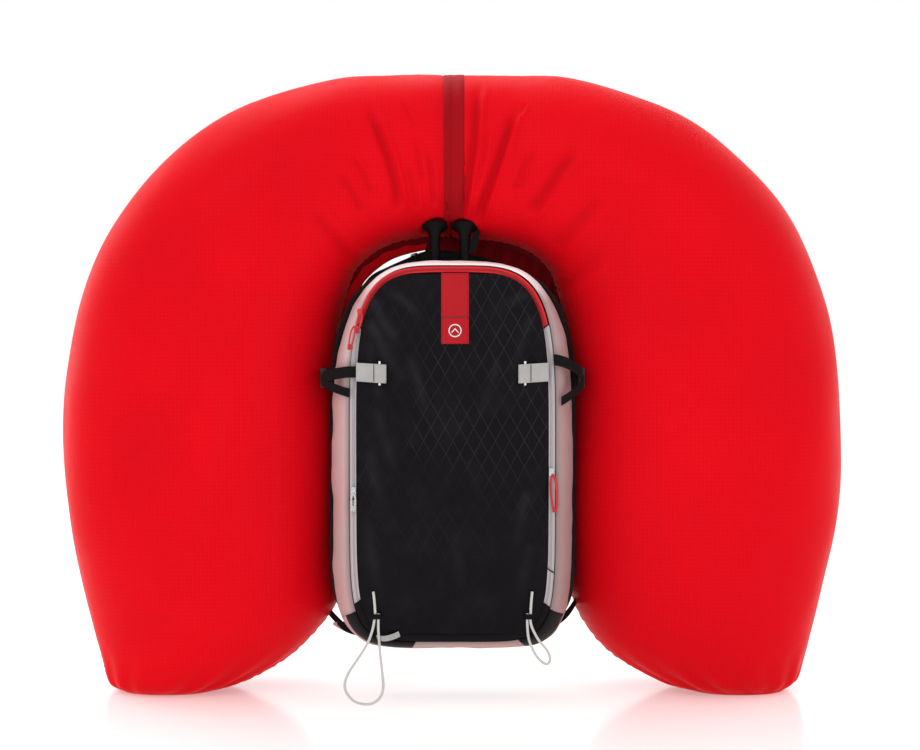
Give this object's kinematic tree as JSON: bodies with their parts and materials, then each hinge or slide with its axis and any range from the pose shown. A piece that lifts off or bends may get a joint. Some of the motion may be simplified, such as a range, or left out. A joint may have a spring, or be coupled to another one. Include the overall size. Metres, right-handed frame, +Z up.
{
  "type": "avalanche airbag backpack",
  "caption": "Mountain backpack with its avalanche airbag inflated behind it: horseshoe air chambers, intake trumpets, gas trigger, harness, zips and ice-axe loops.",
  "frame": {"origin": "on the ground under the middle of the object, which stands on the feet of its two air chambers", "axes": "+Z up, +Y towards the wearer, +X towards the wearer right"},
  "size_m": [1.0866, 0.3371, 0.8616],
  "materials": {
    "air_ripstop": "coated ripstop cloth, satin",
    "dark_red_cloth": "doubled ripstop cloth",
    "red_trim": "coated tape",
    "laminate": "laminated pack cloth with a diamond grid",
    "light_cloth": "light grey pack cloth",
    "black_webbing": "woven webbing",
    "plastic": "moulded plastic",
    "red_plastic": "moulded plastic",
    "foam": "padded mesh over foam",
    "cord": "braided cord",
    "steel": "brushed",
    "aluminium": "anodised",
    "rubber": "soft valve rubber"
  },
  "bodies": {
    "pack": {"airbag_centre_strip": "dark_red_cloth", "airbag_chamber_left": "air_ripstop", "airbag_chamber_right": "air_ripstop", "airbag_skirt": "dark_red_cloth", "axe_loop_left": "cord", "axe_loop_right": "cord", "back_pad": "foam", "bottom_panel": "light_cloth", "compartment_divider": "black_webbing", "compression_latch_left": "plastic", "compression_latch_right": "plastic", "compression_strap_left": "black_webbing", "compression_strap_right": "black_webbing", "frame_sheet": "plastic", "front_binding": "light_cloth", "front_panel": "laminate", "gas_cartridge": "aluminium", "handle_dock": "black_webbing", "hip_latch": "plastic", "hip_wing_left": "foam", "hip_wing_right": "foam", "intake_trumpet_left": "plastic", "intake_trumpet_right": "plastic", "keeper_left": "light_cloth", "keeper_right": "light_cloth", "main_zip": "red_trim", "rear_gusset": "black_webbing", "shoulder_pad_left": "foam", "shoulder_pad_right": "foam", "side_gusset": "light_cloth", "side_zip_left": "light_cloth", "side_zip_right": "light_cloth", "strap_webbing_left": "black_webbing", "strap_webbing_right": "black_webbing", "trigger_cable": "plastic", "trigger_valve": "aluminium", "venturi_manifold": "plastic"},
    "flap": {"front_flap": "laminate", "centre_stripe": "red_trim", "main_slider": "plastic"},
    "main_pull_a": {"main_pull_upper": "red_trim"},
    "main_pull_b": {"main_pull_lower": "red_trim"},
    "slider_left": {"side_slider_left": "steel"},
    "pull_left": {"side_pull_left": "cord"},
    "slider_right": {"side_slider_right": "steel"},
    "pull_right": {"side_pull_right": "red_trim"},
    "handle": {"trigger_handle": "red_plastic"},
    "cam": {"trigger_cam": "steel"},
    "pin": {"piercing_pin": "steel"},
    "collar": {"cartridge_collar": "steel"},
    "check_left": {"check_flap_left": "rubber"},
    "check_right": {"check_flap_right": "rubber"},
    "tongue_left": {"compression_tongue_left": "plastic"},
    "tongue_right": {"compression_tongue_right": "plastic"},
    "sternum": {"sternum_latch": "plastic"},
    "sternum_half": {"sternum_strap": "black_webbing", "sternum_tongue": "plastic"},
    "belt_half": {"hip_webbing": "black_webbing", "hip_tongue": "plastic"},
    "haul": {"haul_handle": "black_webbing"}
  },
  "joints": [
    {"name": "front_flap_fold", "type": "hinge", "parent": "pack", "child": "flap", "pos_m": [0, -0.1675, 0.486], "axis": [1, 0, 0], "range_deg": [0, 110]},
    {"name": "main_pull_upper_swing", "type": "hinge", "parent": "flap", "child": "main_pull_a", "pos_m": [-0.12, -0.1562, 0.531], "axis": [1, 0, 0], "range_deg": [-100, 0]},
    {"name": "main_pull_lower_swing", "type": "hinge", "parent": "flap", "child": "main_pull_b", "pos_m": [-0.1315, -0.1604, 0.513], "axis": [1, 0, 0], "range_deg": [-100, 0]},
    {"name": "side_zip_left_travel", "type": "slide", "parent": "pack", "child": "slider_left", "axis": [0, 0, 1], "range_m": [0, 0.135]},
    {"name": "side_pull_left_swing", "type": "hinge", "parent": "slider_left", "child": "pull_left", "pos_m": [-0.1308, -0.1562, 0.292], "axis": [1, 0, 0], "range_deg": [-100, 0]},
    {"name": "side_zip_right_travel", "type": "slide", "parent": "pack", "child": "slider_right", "axis": [0, 0, 1], "range_m": [-0.12, 0.105]},
    {"name": "side_pull_right_swing", "type": "hinge", "parent": "slider_right", "child": "pull_right", "pos_m": [0.1325, -0.1562, 0.317], "axis": [1, 0, 0], "range_deg": [-100, 0]},
    {"name": "trigger_pull", "type": "slide", "parent": "pack", "child": "handle", "axis": [0, 0, -1], "range_m": [0, 0.06]},
    {"name": "trigger_cam_turn", "type": "hinge", "parent": "pack", "child": "cam", "pos_m": [-0.0285, -0.03, 0.541], "axis": [-1, 0, 0], "range_deg": [0, 90]},
    {"name": "piercing_pin_stroke", "type": "slide", "parent": "pack", "child": "pin", "axis": [0, 0, -1], "range_m": [0, 0.0035]},
    {"name": "cartridge_collar_turn", "type": "hinge", "parent": "pack", "child": "collar", "pos_m": [0, -0.03, 0.516], "axis": [0, 0, 1], "continuous": true},
    {"name": "check_flap_left_lift", "type": "hinge", "parent": "pack", "child": "check_left", "pos_m": [-0.0245, -0.0466, 0.6461], "axis": [1, 0, 0], "range_deg": [0, 60], "stiffness_Nm_per_rad": 0.0005},
    {"name": "check_flap_right_lift", "type": "hinge", "parent": "pack", "child": "check_right", "pos_m": [0.0165, -0.0466, 0.6461], "axis": [1, 0, 0], "range_deg": [0, 60], "stiffness_Nm_per_rad": 0.0005},
    {"name": "compression_left_release", "type": "slide", "parent": "pack", "child": "tongue_left", "axis": [0, -1, 0], "range_m": [0, 0.012]},
    {"name": "compression_right_release", "type": "slide", "parent": "pack", "child": "tongue_right", "axis": [0, -1, 0], "range_m": [0, 0.012]},
    {"name": "sternum_height", "type": "slide", "parent": "pack", "child": "sternum", "axis": [0, 0, 1], "range_m": [-0.02, 0.035]},
    {"name": "sternum_release", "type": "slide", "parent": "sternum", "child": "sternum_half", "axis": [-1, 0, 0], "range_m": [0, 0.013]},
    {"name": "hip_release", "type": "slide", "parent": "pack", "child": "belt_half", "axis": [-1, 0, 0], "range_m": [0, 0.022]},
    {"name": "haul_handle_fold", "type": "hinge", "parent": "pack", "child": "haul", "pos_m": [0, 0.0255, 0.57], "axis": [1, 0, 0], "range_deg": [-60, 0]}
  ],
  "couplings": [
    {"joint": "trigger_cam_turn", "follows": "trigger_pull", "rad_per_m": 26},
    {"joint": "piercing_pin_stroke", "follows": "trigger_pull", "ratio": 0.055}
  ]
}
